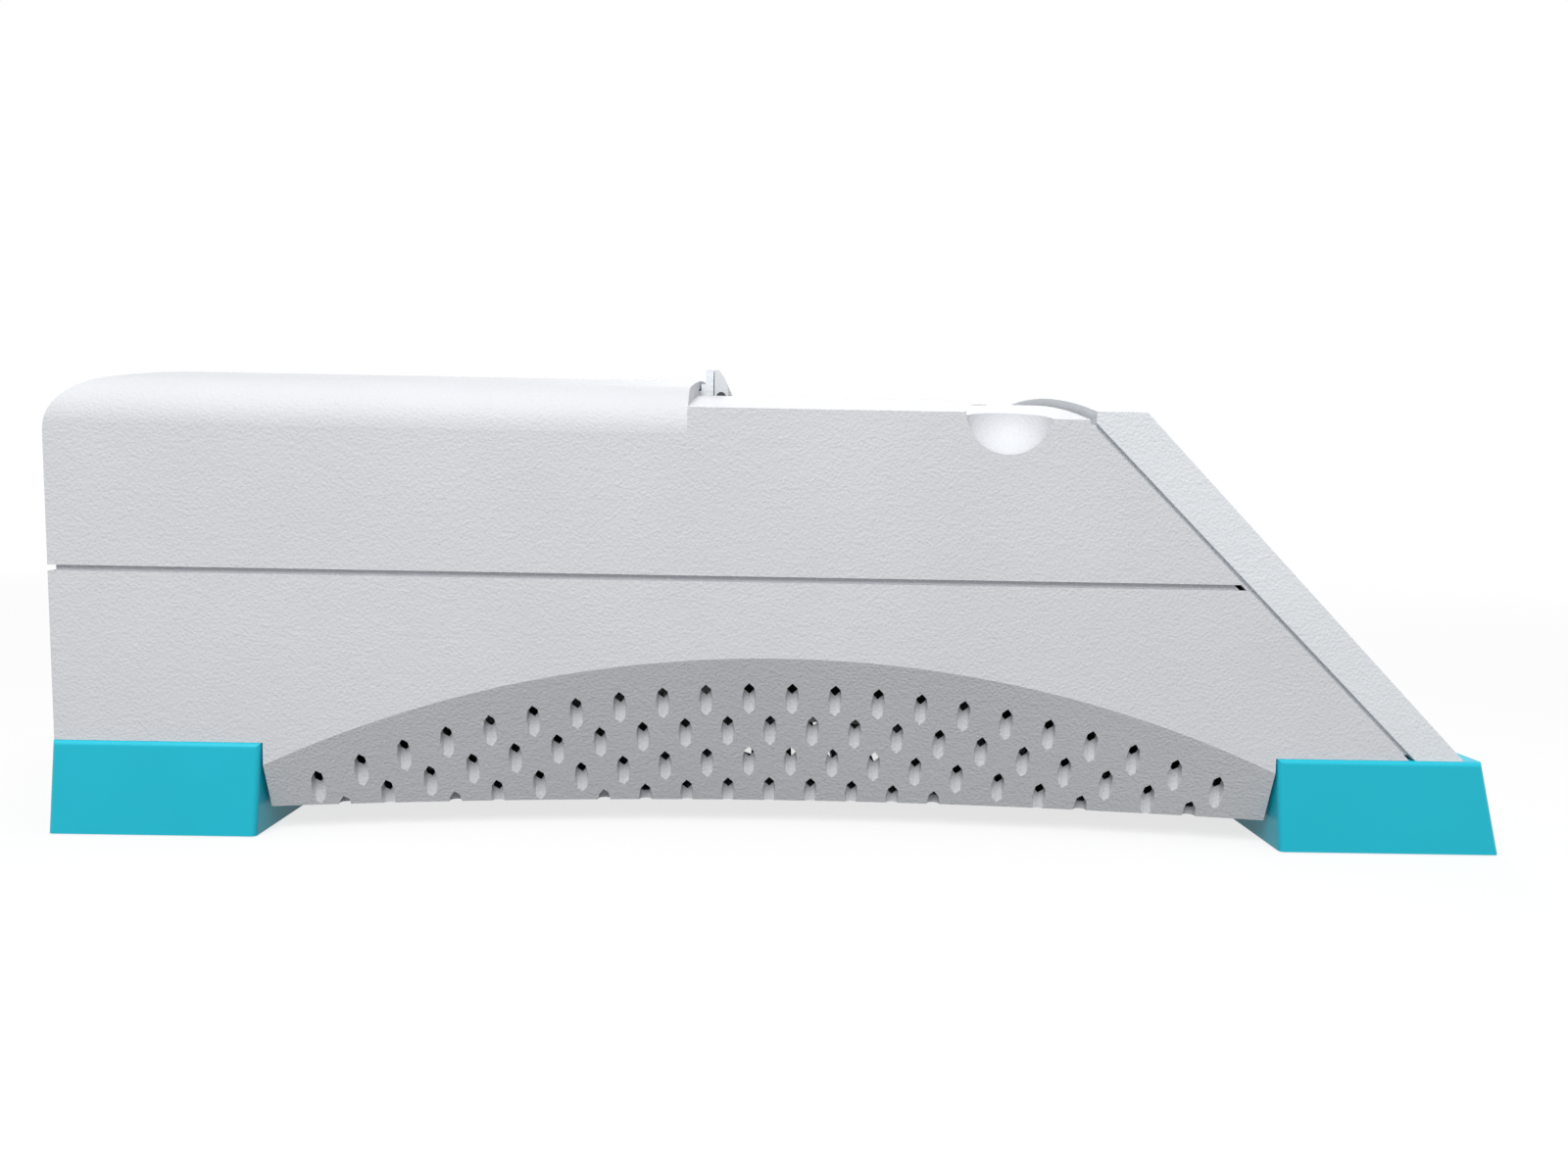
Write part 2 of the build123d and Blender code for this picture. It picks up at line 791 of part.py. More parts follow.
# Lever: a D-shaped bar, flat behind and round in front, on a pin near its foot
with BuildPart() as lever_bar:
    front_face_x = lever_back_x + lever_thick
    with BuildSketch(Plane.XZ.offset(-lever_half)):
        with BuildLine():
            Line((lever_back_x, lever_pivot_z), (lever_back_x, lever_top - 0.4))
            Line((lever_back_x, lever_top - 0.4), (lever_back_x + 1.2, lever_top))
            ThreePointArc(
                (lever_back_x + 1.2, lever_top),
                (front_face_x - 1.2, lever_top - 2.9),
                (front_face_x, lever_pivot_z + 2.0),
            )
            Line((front_face_x, lever_pivot_z + 2.0), (front_face_x, lever_pivot_z))
            ThreePointArc(
                (front_face_x, lever_pivot_z),
                (lever_pivot_x, lever_pivot_z - lever_thick / 2),
                (lever_back_x, lever_pivot_z),
            )
        make_face()
    extrude(amount=2 * lever_half)
    for side in (-1, 1):
        slot = (side * lug_spacing / 2 - lug_width / 2, side * lug_spacing / 2 + lug_width / 2)
        block_between(
            (lever_back_x - 1.0, front_face_x + 1.0),
            (slot[0] - rail_clearance, slot[1] + rail_clearance),
            (lever_pivot_z - lever_thick, lever_pivot_z + 4.0),
            Mode.SUBTRACT,
        )
    with BuildSketch(Plane.XZ.offset(-lever_half)):
        with Locations((lever_pivot_x, lever_pivot_z)):
            RegularPolygon(pin_radius, round_sides, major_radius=False)
    extrude(amount=2 * lever_half, mode=Mode.SUBTRACT)
lever_bar.part.label = "lever_bar"
export_step(lever_bar.part, "parts/lever_bar.step")

with BuildPart() as lever_pin:
    with BuildSketch(Plane.XZ.offset(-lever_half)):
        with Locations((lever_pivot_x, lever_pivot_z)):
            Circle(pin_radius)
    extrude(amount=2 * lever_half)
lever_pin.part.label = "lever_pin"
export_step(lever_pin.part, "parts/lever_pin.step")

# Heated platen, which hangs on four guide pins and drops as the lever folds forward
platen_front_x = carriage_front_x - 1.0
platen_middle_x = platen_front_x - platen_length / 2
guide_radius = 2.0
guide_x = platen_length / 2 - 4.0
guide_y = platen_width / 2 - 4.0
guide_places = [
    (platen_middle_x + along * guide_x, across * guide_y)
    for along in (-1, 1)
    for across in (-1, 1)
]

with BuildPart() as heated_platen:
    block_between(
        (platen_front_x - platen_length, platen_front_x),
        (-platen_width / 2, platen_width / 2),
        (platen_bottom, platen_bottom + platen_thick),
    )
    with BuildSketch(Plane.XY):
        with Locations(*guide_places):
            RegularPolygon(guide_radius + running_fit, round_sides)
    extrude(amount=cut_z, mode=Mode.SUBTRACT)
heated_platen.part.label = "heated_platen"
export_step(heated_platen.part, "parts/heated_platen.step")

with BuildPart() as heater_mat:
    mat_top = platen_bottom + platen_thick
    block_between(
        (platen_front_x - platen_length + 3.0, platen_front_x - 3.0),
        (-platen_width / 2 + 8.0, platen_width / 2 - 8.0),
        (mat_top, mat_top + mat_thick),
    )
heater_mat.part.label = "heater_mat"
export_step(heater_mat.part, "parts/heater_mat.step")

with BuildPart() as platen_guides:
    guide_top = crown_z(carriage_top - 2.0, guide_y + guide_radius) - 0.05
    with BuildSketch(Plane.XY.offset(platen_bottom - platen_drop + 1.0)):
        with Locations(*guide_places):
            RegularPolygon(guide_radius, round_sides)
    extrude(amount=guide_top - platen_bottom + platen_drop - 1.0)
platen_guides.part.label = "platen_guides"
export_step(platen_guides.part, "parts/platen_guides.step")

# Sample block and the cooling stack under it
block_bottom = block_top - block_height
sink_top = block_bottom - peltier_thick
sink_bottom = sink_top - sink_base - sink_fin_depth
well_sides = 8

with BuildPart() as sample_block:
    with BuildSketch(Plane.XY.offset(block_bottom)):
        with Locations((block_x, 0)):
            Rectangle(block_length, block_width)
    extrude(amount=block_height)
    with BuildSketch(Plane.XY.offset(block_bottom)):
        with Locations((block_x, 0)):
            Rectangle(block_length + 2 * block_foot, block_width + 2 * block_foot)
    extrude(amount=block_flange)
    with BuildSketch(Plane.XY.offset(block_top)):
        with Locations((block_x, 0)):
            with GridLocations(well_pitch, well_pitch, well_rows, well_columns):
                RegularPolygon(well_radius, well_sides)
    extrude(amount=-well_depth, mode=Mode.SUBTRACT)
sample_block.part.label = "sample_block"
export_step(sample_block.part, "parts/sample_block.step")

with BuildPart() as block_seal:
    with BuildSketch(Plane.XY.offset(track_floor - skin)):
        with Locations((block_x, 0)):
            Rectangle(block_length + 2 * block_gap - 0.2, block_width + 2 * block_gap - 0.2)
            Rectangle(block_length + 0.2, block_width + 0.2, mode=Mode.SUBTRACT)
    extrude(amount=skin)
block_seal.part.label = "block_seal"
export_step(block_seal.part, "parts/block_seal.step")

with BuildPart() as peltier_modules:
    with BuildSketch(Plane.XY.offset(sink_top)):
        with Locations((block_x, 0)):
            with GridLocations(peltier_size + 4.0, peltier_size + 4.0, 2, 3):
                Rectangle(peltier_size, peltier_size)
    extrude(amount=peltier_thick)
peltier_modules.part.label = "peltier_modules"
export_step(peltier_modules.part, "parts/peltier_modules.step")

with BuildPart() as heat_sink:
    with BuildSketch(Plane.XY.offset(sink_top)):
        with Locations((block_x, 0)):
            Rectangle(sink_length, sink_width)
    extrude(amount=-sink_base)
    fin_count = int((sink_length - sink_fin) / sink_fin_pitch) + 1
    with BuildSketch(Plane.XY.offset(sink_top - sink_base)):
        with Locations((block_x, 0)):
            with GridLocations(sink_fin_pitch, sink_fin_pitch, fin_count, 1):
                Rectangle(sink_fin, sink_width)
    extrude(amount=-sink_fin_depth)
heat_sink.part.label = "heat_sink"
export_step(heat_sink.part, "parts/heat_sink.step")

# Fans, hung face to face under the fins, with upright shafts
fan_top = sink_bottom
fan_bottom = fan_top - fan_height
hub_plate = 3.0

for side, direction in (("right", -1), ("left", 1)):
    fan_place = (block_x, direction * fan_spacing / 2)
    with BuildPart() as fan_frame:
        with BuildSketch(Plane.XY.offset(fan_bottom)):
            with Locations(fan_place):
                Rectangle(fan_size, fan_size)
                RegularPolygon(fan_bore_radius, bore_sides, major_radius=False, mode=Mode.SUBTRACT)
        extrude(amount=fan_height)
        with BuildSketch(Plane.XY.offset(fan_bottom)):
            with Locations(fan_place):
                RegularPolygon(fan_hub_radius, round_sides)
                with PolarLocations(fan_bore_radius - 10.0, 3, start_angle=30):
                    Rectangle(26.0, 3.0)
        extrude(amount=hub_plate)
        with BuildSketch(Plane.XY.offset(fan_bottom)):
            with Locations(fan_place):
                Circle(fan_shaft_radius)
        extrude(amount=fan_height - 3.0)
    fan_frame.part.label = f"fan_frame_{side}"
    export_step(fan_frame.part, f"parts/fan_frame_{side}.step")

    with BuildPart() as fan_rotor:
        rotor_z = fan_bottom + hub_plate + 0.5
        rotor_height = fan_height - hub_plate - 2.5
        with BuildSketch(Plane.XY.offset(rotor_z)):
            with Locations(fan_place):
                RegularPolygon(fan_hub_radius, round_sides)
        extrude(amount=rotor_height)
        blade_length = fan_bore_radius - 1.2 - fan_hub_radius + 1.0
        blade_middle = fan_hub_radius - 1.0 + blade_length / 2
        with Locations((*fan_place, rotor_z + rotor_height / 2)):
            with PolarLocations(blade_middle, fan_blades):
                Box(blade_length, 1.6, rotor_height - 2.0, rotation=(35, 0, 0))
        with Locations((*fan_place, rotor_z + rotor_height / 2)):
            Cylinder(fan_shaft_radius + running_fit, rotor_height + 2.0, mode=Mode.SUBTRACT)
    fan_rotor.part.label = f"fan_rotor_{side}"
    export_step(fan_rotor.part, f"parts/fan_rotor_{side}.step")

# Chassis plate with the fan holes, and the two brackets that stand on it and hold the sink
plate_top = chassis_z + chassis_thick
with BuildPart() as chassis_plate:
    with BuildSketch(Plane.XY.offset(chassis_z)):
        Rectangle(chassis_length, chassis_width)
        with Locations((-(chassis_length + tail_length) / 2, 0)):
            Rectangle(tail_length, tail_width)
        with Locations(*[(block_x, side * fan_spacing / 2) for side in (-1, 1)]):
            RegularPolygon(fan_bore_radius, bore_sides, major_radius=False, mode=Mode.SUBTRACT)
        with Locations(*boss_places):
            RegularPolygon(
                plate_screw_radius + running_fit,
                small_sides,
                major_radius=False,
                mode=Mode.SUBTRACT,
            )
    extrude(amount=chassis_thick)
chassis_plate.part.label = "chassis_plate"
export_step(chassis_plate.part, "parts/chassis_plate.step")

for end, direction in (("rear", -1), ("front", 1)):
    face_x = block_x + direction * sink_length / 2
    with BuildPart() as bracket:
        block_between(
            sorted((face_x, face_x + direction * bracket_thick)),
            (-bracket_width / 2, bracket_width / 2),
            (plate_top, sink_top),
        )
        block_between(
            sorted((face_x, face_x + direction * bracket_foot)),
            (-bracket_width / 2, bracket_width / 2),
            (plate_top, plate_top + bracket_thick),
        )
    bracket.part.label = f"sink_bracket_{end}"
    export_step(bracket.part, f"parts/sink_bracket_{end}.step")

with BuildPart() as chassis_screws:
    with BuildSketch(Plane.XY.offset(plate_top)):
        with Locations(*boss_places):
            RegularPolygon(plate_screw_head, small_sides)
    extrude(amount=plate_screw_head / 2)
    with BuildSketch(Plane.XY.offset(chassis_z)):
        with Locations(*boss_places):
            RegularPolygon(plate_screw_radius, small_sides)
    extrude(amount=chassis_thick)
chassis_screws.part.label = "chassis_screws"
export_step(chassis_screws.part, "parts/chassis_screws.step")

# Power supply: a sheet channel with its board
supply_range = (supply_x, supply_x + supply_length)
with BuildPart() as supply_case:
    block_between(
        supply_range,
        (-supply_width / 2, supply_width / 2),
        (plate_top, plate_top + supply_height),
    )
    block_between(
        (supply_range[0] - 1.0, supply_range[1] + 1.0),
        (-supply_width / 2 + supply_sheet, supply_width / 2 - supply_sheet),
        (plate_top + supply_sheet, cut_z),
        Mode.SUBTRACT,
    )
supply_case.part.label = "supply_case"
export_step(supply_case.part, "parts/supply_case.step")

with BuildPart() as supply_board:
    board_z = plate_top + supply_sheet + 5.0
    middle_x = supply_x + supply_length / 2
    with BuildSketch(Plane.XY.offset(board_z)):
        with Locations((middle_x, 0)):
            Rectangle(supply_length - 4.0, supply_width - 2 * supply_sheet - 1.0)
    extrude(amount=board_thick)
    with BuildSketch(Plane.XY.offset(board_z - 5.0)):
        with Locations((middle_x, 0)):
            with GridLocations(supply_length - 16.0, supply_width - 16.0, 2, 2):
                Rectangle(5.0, 5.0)
    extrude(amount=5.0)
    with BuildSketch(Plane.XY.offset(board_z + board_thick)):
        with Locations((middle_x - 18.0, 10.0)):
            Rectangle(34.0, 38.0)
    extrude(amount=27.0)
    with BuildSketch(Plane.XY.offset(board_z + board_thick)):
        with Locations((middle_x + 24.0, 28.0), (middle_x + 24.0, 2.0)):
            RegularPolygon(11.0, 12)
        with Locations((middle_x + 20.0, -28.0)):
            Rectangle(36.0, 12.0)
    extrude(amount=22.0)
supply_board.part.label = "supply_board"
export_step(supply_board.part, "parts/supply_board.step")

# Main board on four standoffs
main_middle_x = main_board_x + main_board_length / 2
with BuildPart() as board_standoffs:
    with BuildSketch(Plane.XY.offset(plate_top)):
        with Locations((main_middle_x, 0)):
            with GridLocations(main_board_length - 8.0, main_board_width - 8.0, 2, 2):
                RegularPolygon(standoff_radius, 6)
    extrude(amount=standoff_height)
board_standoffs.part.label = "board_standoffs"
export_step(board_standoffs.part, "parts/board_standoffs.step")

with BuildPart() as main_board:
    with BuildSketch(Plane.XY.offset(plate_top + standoff_height)):
        with Locations((main_middle_x, 0)):
            Rectangle(main_board_length, main_board_width)
    extrude(amount=board_thick)
    with BuildSketch(Plane.XY.offset(plate_top + standoff_height + board_thick)):
        with Locations((main_middle_x - 6.0, 18.0)):
            Rectangle(28.0, 28.0)
        with Locations((main_middle_x + 4.0, -28.0)):
            Rectangle(14.0, 32.0)
        with Locations((main_middle_x - 22.0, -50.0)):
            Rectangle(12.0, 30.0)
    extrude(amount=6.0)
main_board.part.label = "main_board"
export_step(main_board.part, "parts/main_board.step")

# Rear wall: power inlet with its fuse drawer, rocker switch and serial port
inlet_front_x = rear_x - flange_thick
plug_z = inlet_z + 6.5
fuse_z = inlet_z - 11.5
with BuildPart() as power_inlet:
    with BuildSketch(Plane.YZ.offset(rear_x)):
        with Locations((inlet_y, inlet_z)):
            Rectangle(inlet_width, inlet_height)
    extrude(amount=inlet_depth)
    with BuildSketch(Plane.YZ.offset(inlet_front_x)):
        with Locations((inlet_y, inlet_z)):
            Rectangle(inlet_width + 2 * flange_margin, inlet_height + 2 * flange_margin)
    extrude(amount=flange_thick)
    with BuildSketch(Plane.YZ.offset(inlet_front_x)):
        with Locations((inlet_y, plug_z)):
            Rectangle(plug_width, plug_height)
    extrude(amount=plug_depth, mode=Mode.SUBTRACT)
    with BuildSketch(Plane.YZ.offset(inlet_front_x)):
        with Locations((inlet_y, fuse_z)):
            Rectangle(fuse_width, fuse_height)
    extrude(amount=fuse_depth, mode=Mode.SUBTRACT)
    with BuildSketch(Plane.YZ.offset(inlet_front_x + plug_depth)):
        with Locations((inlet_y, plug_z + 2.0)):
            Rectangle(2.0, 4.0)
        with Locations((inlet_y, plug_z - 2.0)):
            with GridLocations(14.0, 14.0, 2, 1):
                Rectangle(2.0, 4.0)
    extrude(amount=4.0 - plug_depth)
power_inlet.part.label = "power_inlet"
export_step(power_inlet.part, "parts/power_inlet.step")

with BuildPart() as fuse_drawer:
    with BuildSketch(Plane.YZ.offset(inlet_front_x)):
        with Locations((inlet_y, fuse_z)):
            Rectangle(fuse_width - 0.6, fuse_height - 0.6)
    extrude(amount=fuse_depth - seat_gap)
    with BuildSketch(Plane.YZ.offset(inlet_front_x)):
        with Locations((inlet_y, fuse_z)):
            Rectangle(6.0, 2.0)
    extrude(amount=1.2, mode=Mode.SUBTRACT)
fuse_drawer.part.label = "fuse_drawer"
export_step(fuse_drawer.part, "parts/fuse_drawer.step")

rocker_x = rear_x + 3.0
with BuildPart() as switch_body:
    with BuildSketch(Plane.YZ.offset(rear_x)):
        with Locations((switch_y, switch_z)):
            Rectangle(switch_width, switch_height)
    extrude(amount=switch_depth)
    with BuildSketch(Plane.YZ.offset(inlet_front_x)):
        with Locations((switch_y, switch_z)):
            Rectangle(switch_width + flange_margin, switch_height + flange_margin)
    extrude(amount=flange_thick)
    with BuildSketch(Plane.YZ.offset(inlet_front_x)):
        with Locations((switch_y, switch_z)):
            Rectangle(rocker_width + 0.8, rocker_height + 1.6)
    extrude(amount=flange_thick + 7.5, mode=Mode.SUBTRACT)
switch_body.part.label = "switch_body"
export_step(switch_body.part, "parts/switch_body.step")

# The rocker's face is a shallow V about its pivot, tilted to the off side at rest
rocker_outline = (
    (2.0, 0.5 - rocker_height / 2 + 3.0),
    (2.0, rocker_height / 2 - 3.5),
    (-3.2, rocker_height / 2),
    (-2.4, 0.0),
    (-3.2, -rocker_height / 2),
)
tilt = radians(rocker_tilt)
rocker_turned = [
    (
        rocker_x + x * cos(tilt) - z * sin(tilt),
        switch_z + x * sin(tilt) + z * cos(tilt),
    )
    for x, z in rocker_outline
]
with BuildPart() as switch_rocker:
    with BuildSketch(Plane.XZ.offset(-switch_y - rocker_width / 2)):
        with BuildLine():
            Polyline(*rocker_turned, close=True)
        make_face()
    extrude(amount=rocker_width)
switch_rocker.part.label = "switch_rocker"
export_step(switch_rocker.part, "parts/switch_rocker.step")

with BuildPart() as serial_port:
    inner_face = rear_x + wall
    with BuildSketch(Plane.YZ.offset(inner_face)):
        with Locations((port_y, port_z)):
            Rectangle(port_width + 14.0, port_height + 4.0)
    extrude(amount=1.5)
    with BuildSketch(Plane.YZ.offset(inner_face + 1.5)):
        with Locations((port_y, port_z)):
            Rectangle(port_width, port_height)
    extrude(amount=port_depth)
    with BuildSketch(Plane.YZ.offset(rear_x - 2.0)):
        with Locations((port_y, port_z)):
            Trapezoid(port_width, port_height, 80)
            Trapezoid(port_width - 1.4, port_height - 1.4, 80, mode=Mode.SUBTRACT)
    extrude(amount=wall + 2.0)
serial_port.part.label = "serial_port"
export_step(serial_port.part, "parts/serial_port.step")
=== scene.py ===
import json
import math

import bmesh
import bpy
import numpy as np
from bpy.props import FloatProperty, FloatVectorProperty, PointerProperty
from bpy.types import Operator, Panel, PropertyGroup
from mathutils import Matrix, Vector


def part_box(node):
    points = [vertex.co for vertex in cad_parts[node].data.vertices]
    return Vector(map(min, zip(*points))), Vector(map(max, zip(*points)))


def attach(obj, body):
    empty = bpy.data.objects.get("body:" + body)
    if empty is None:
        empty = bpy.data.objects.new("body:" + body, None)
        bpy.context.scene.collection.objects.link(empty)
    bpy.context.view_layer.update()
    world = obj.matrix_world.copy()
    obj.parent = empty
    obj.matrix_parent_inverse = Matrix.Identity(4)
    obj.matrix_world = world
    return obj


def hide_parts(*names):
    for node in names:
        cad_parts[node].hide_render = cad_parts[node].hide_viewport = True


bl_info = {
    "name": "Thermal Cycler",
    "version": (1, 0, 0),
    "blender": (4, 5, 0),
    "location": "View3D > Sidebar > Cycler",
    "description": "Gives the packed thermal cycler its finishes, block, key marks and studio",
    "category": "Object",
}

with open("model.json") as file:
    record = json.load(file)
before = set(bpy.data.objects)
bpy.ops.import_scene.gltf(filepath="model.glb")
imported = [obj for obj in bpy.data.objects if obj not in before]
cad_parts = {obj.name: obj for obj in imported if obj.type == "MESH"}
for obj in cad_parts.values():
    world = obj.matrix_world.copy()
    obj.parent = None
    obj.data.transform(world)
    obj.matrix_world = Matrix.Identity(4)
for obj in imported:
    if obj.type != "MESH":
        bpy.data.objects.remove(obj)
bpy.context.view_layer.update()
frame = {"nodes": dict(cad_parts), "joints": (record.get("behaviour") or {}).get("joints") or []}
NODES = frame["nodes"]
MM = 0.001

# The photograph's size in pixels
PICTURE = (1600.0, 1200.0)

# Sample block: well grid, cell resolution, chamfer at the mouths, width and height of the foot
WELLS = (8, 12)
CELL_SIDES = 16
MOUTH_CHAMFER = 0.35 * MM
BLOCK_FOOT = 4.0 * MM

# Foot pads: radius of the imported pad, whose sixteen sides make it narrower across Y
PAD_RADIUS = 11.0 * MM
PAD_SIDES = 16

# Marks on the keys: half their thickness, and the outlines of the signs in halves of a sign's
# width. SIGN_SIZE is that half and FIGURE_SIZE the figures' type size, as parts of the height.
INK = 0.03 * MM
SIGNS = {
    "up": [(-1, -0.7), (1, -0.7), (0, 0.9)],
    "down": [(1, 0.7), (-1, 0.7), (0, -0.9)],
    "left": [(0.7, -1), (0.7, 1), (-0.9, 0)],
    "right": [(-0.7, 1), (-0.7, -1), (0.9, 0)],
    "stop": [(-0.8, -0.8), (0.8, -0.8), (0.8, 0.8), (-0.8, 0.8)],
    "enter": [(-0.9, -0.2), (-0.3, -0.8), (1, 0.6), (0.7, 0.9), (-0.3, -0.2), (-0.6, 0.1)],
}
SIGN_SIZE = 0.36
FIGURE_SIZE = 1.35


def linear(hex_colour):
    """sRGB hex colour as linear red, green and blue."""
    srgb = [int(hex_colour[i : i + 2], 16) / 255 for i in (0, 2, 4)]
    return tuple(c / 12.92 if c <= 0.04045 else ((c + 0.055) / 1.055) ** 2.4 for c in srgb)


def node_keys():
    """The key nodes of the frame, in order."""
    return sorted(name for name in NODES if name.startswith("key_") and name != "key_board")


class CyclerColours(PropertyGroup):
    """Colours a user would change."""

    housing: FloatVectorProperty(
        name="Housing",
        description="Cool light grey of the moulded shells",
        subtype="COLOR",
        default=linear("D0D2D6"),
    )
    bezel: FloatVectorProperty(
        name="Bezel",
        description="Paler grey of the control panel's bezel and of the cover",
        subtype="COLOR",
        default=linear("DFE3E7"),
    )
    feet: FloatVectorProperty(
        name="Feet",
        description="Teal of the corner feet",
        subtype="COLOR",
        default=linear("00B9D0"),
    )
    lever: FloatVectorProperty(
        name="Lever",
        description="Grey of the lever bar",
        subtype="COLOR",
        default=linear("CDD0D3"),
    )


class CyclerSizes(PropertyGroup):
    """Real sizes that the patterns and the new pieces are worked out from."""

    grain: FloatProperty(
        name="Texture grain",
        description="Width of a grain of the moulded texture; real ones are 0.3 mm",
        default=0.9 * MM,
        unit="LENGTH",
    )
    grain_depth: FloatProperty(
        name="Texture depth",
        description="Depth of the moulded texture",
        default=0.16 * MM,
        unit="LENGTH",
    )
    well_pitch: FloatProperty(
        name="Well pitch",
        description="Distance between neighbouring wells",
        default=9.0 * MM,
        unit="LENGTH",
    )
    well_mouth: FloatProperty(
        name="Well mouth radius",
        description="Radius of a well at the block's top",
        default=2.9 * MM,
        unit="LENGTH",
    )
    well_depth: FloatProperty(
        name="Well depth",
        description="Depth of a tapered well",
        default=13.5 * MM,
        unit="LENGTH",
    )
    mark_height: FloatProperty(
        name="Key mark height",
        description="Height of the figures on the keys",
        default=5.5 * MM,
        unit="LENGTH",
    )


class CyclerStudio(PropertyGroup):
    """Camera and lamps. The camera was fitted to the straight edges of the photograph."""

    focal: FloatProperty(
        name="Focal length", description="In pixels of a 1600 wide picture", default=1130.0
    )
    vanish_x: FloatProperty(
        name="Vanishing point X", description="Of the +Y edges, in pixels", default=791.0
    )
    vanish_y: FloatProperty(
        name="Vanishing point Y", description="Of the +Y edges, in pixels", default=502.0
    )
    roll: FloatProperty(
        name="Roll", description="Fall of the level edges to the right", default=0.0172
    )
    place: FloatVectorProperty(
        name="Camera place",
        description="Where the camera stands",
        subtype="XYZ",
        unit="LENGTH",
        default=(-0.0027, -0.4513, 0.1079),
    )
    sky: FloatProperty(name="Sky", description="Strength of the even light", default=0.5)
    key_lamp: FloatProperty(
        name="Key lamp",
        description="Power of the broad lamp above the camera",
        default=21.0,
        unit="POWER",
    )
    back_lamp: FloatProperty(
        name="Back lamp",
        description="Power of the lamp above the far side",
        default=8.0,
        unit="POWER",
    )
    white: FloatProperty(
        name="Floor's own white",
        description="Part of the floor's brightness that no shadow darkens",
        default=0.75,
    )


# Materials


def add_node(tree, kind, links=(), **settings):
    """Adds a shader node. settings are its own values, or those of its inputs where a name is an
    input's; links are (output socket, input name or number) pairs."""
    made = tree.nodes.new(kind)
    for name, value in settings.items():
        if hasattr(made, name):
            setattr(made, name, value)
        else:
            made.inputs[name.replace("_", " ")].default_value = value
    for socket, target in links:
        tree.links.new(socket, made.inputs[target])
    return made


def new_material(name, colour, roughness, metallic=0.0, ior=1.5):
    """A material with one Principled shader, its tree and that shader."""
    material = bpy.data.materials.new(name)
    material.use_nodes = True
    material.diffuse_color = (*colour[:3], 1.0)
    tree = material.node_tree
    shader = tree.nodes["Principled BSDF"]
    shader.inputs["Base Color"].default_value = (*colour[:3], 1.0)
    shader.inputs["Roughness"].default_value = roughness
    shader.inputs["Metallic"].default_value = metallic
    shader.inputs["IOR"].default_value = ior
    return material, tree, shader


def object_noise(tree, size, stretch=(1.0, 1.0, 1.0), detail=2.0):
    """Noise on the object's own coordinates whose grains are size metres wide."""
    place = add_node(tree, "ShaderNodeTexCoord").outputs["Object"]
    mapped = add_node(tree, "ShaderNodeMapping", links=[(place, 0)], Scale=stretch)
    noise = add_node(
        tree, "ShaderNodeTexNoise", links=[(mapped.outputs[0], 0)], Scale=1.0 / size, Detail=detail
    )
    return noise.outputs["Fac"]


def tint(tree, shader, colour, amount, size):
    """Lets the base colour drift a little lighter and darker over patches of that size."""
    ramp = add_node(tree, "ShaderNodeValToRGB", links=[(object_noise(tree, size), 0)])
    ramp.color_ramp.elements[0].position = 0.3
    ramp.color_ramp.elements[1].position = 0.7
    ramp.color_ramp.elements[0].color = (*[c * (1 - amount) for c in colour[:3]], 1)
    ramp.color_ramp.elements[1].color = (*[min(1, c * (1 + amount)) for c in colour[:3]], 1)
    tree.links.new(ramp.outputs[0], shader.inputs["Base Color"])


def relief(tree, shader, height, depth, strength=1.0):
    """Bump from a height between 0 and 1, depth metres deep."""
    bump = add_node(
        tree, "ShaderNodeBump", links=[(height, "Height")], Strength=strength, Distance=depth
    )
    tree.links.new(bump.outputs[0], shader.inputs["Normal"])


def textured_abs(name, colour, grain, depth):
    """ABS moulded in a spark-eroded tool: a matt skin of fine pebbles that takes no mirror
    image. Real pebbles are 0.3 mm wide and are drawn wider, so that they show."""
    material, tree, shader = new_material(name, colour, 0.62, ior=1.53)
    tint(tree, shader, colour, 0.018, 40 * MM)
    fine = object_noise(tree, grain, detail=3.0)
    coarse = object_noise(tree, grain * 3.2, detail=1.0)
    both = add_node(
        tree, "ShaderNodeMath", links=[(fine, 0), (coarse, 1)], operation="MULTIPLY_ADD"
    )
    tree.links.new(fine, both.inputs[2])
    relief(tree, shader, both.outputs[0], depth)
    return material


def smooth_plastic(name, colour, roughness, ior=1.5, drift=0.015):
    """Plastic moulded in a polished tool: an even satin skin with faint flow marks."""
    material, tree, shader = new_material(name, colour, roughness, ior=ior)
    tint(tree, shader, colour, drift, 25 * MM)
    relief(tree, shader, object_noise(tree, 6 * MM), 0.02 * MM, 0.4)
    return material


def metal(name, colour, roughness, stretch=(1.0, 1.0, 1.0), grain=0.8):
    """Metal with the lines that its making leaves: stretch draws them out along an axis."""
    material, tree, shader = new_material(name, colour, roughness, metallic=1.0)
    lines = object_noise(tree, grain * MM, stretch, detail=4.0)
    spread = add_node(
        tree,
        "ShaderNodeMapRange",
        links=[(lines, 0)],
        To_Min=roughness * 0.85,
        To_Max=roughness * 1.15,
    )
    tree.links.new(spread.outputs[0], shader.inputs["Roughness"])
    relief(tree, shader, lines, 0.01 * MM, 0.5)
    return material


def soft_rubber(name, colour):
    """Moulded rubber: dull, nearly black, with a bloom of paler dust."""
    material, tree, shader = new_material(name, colour, 0.8, ior=1.52)
    tint(tree, shader, colour, 0.25, 5 * MM)
    relief(tree, shader, object_noise(tree, 0.5 * MM), 0.03 * MM, 0.6)
    return material


def circuit_laminate(name):
    """Glass-epoxy board under green solder mask: satin, with the weave just showing."""
    material, tree, shader = new_material(name, linear("1F5C38"), 0.35, ior=1.55)
    tint(tree, shader, linear("1F5C38"), 0.12, 3 * MM)
    return material


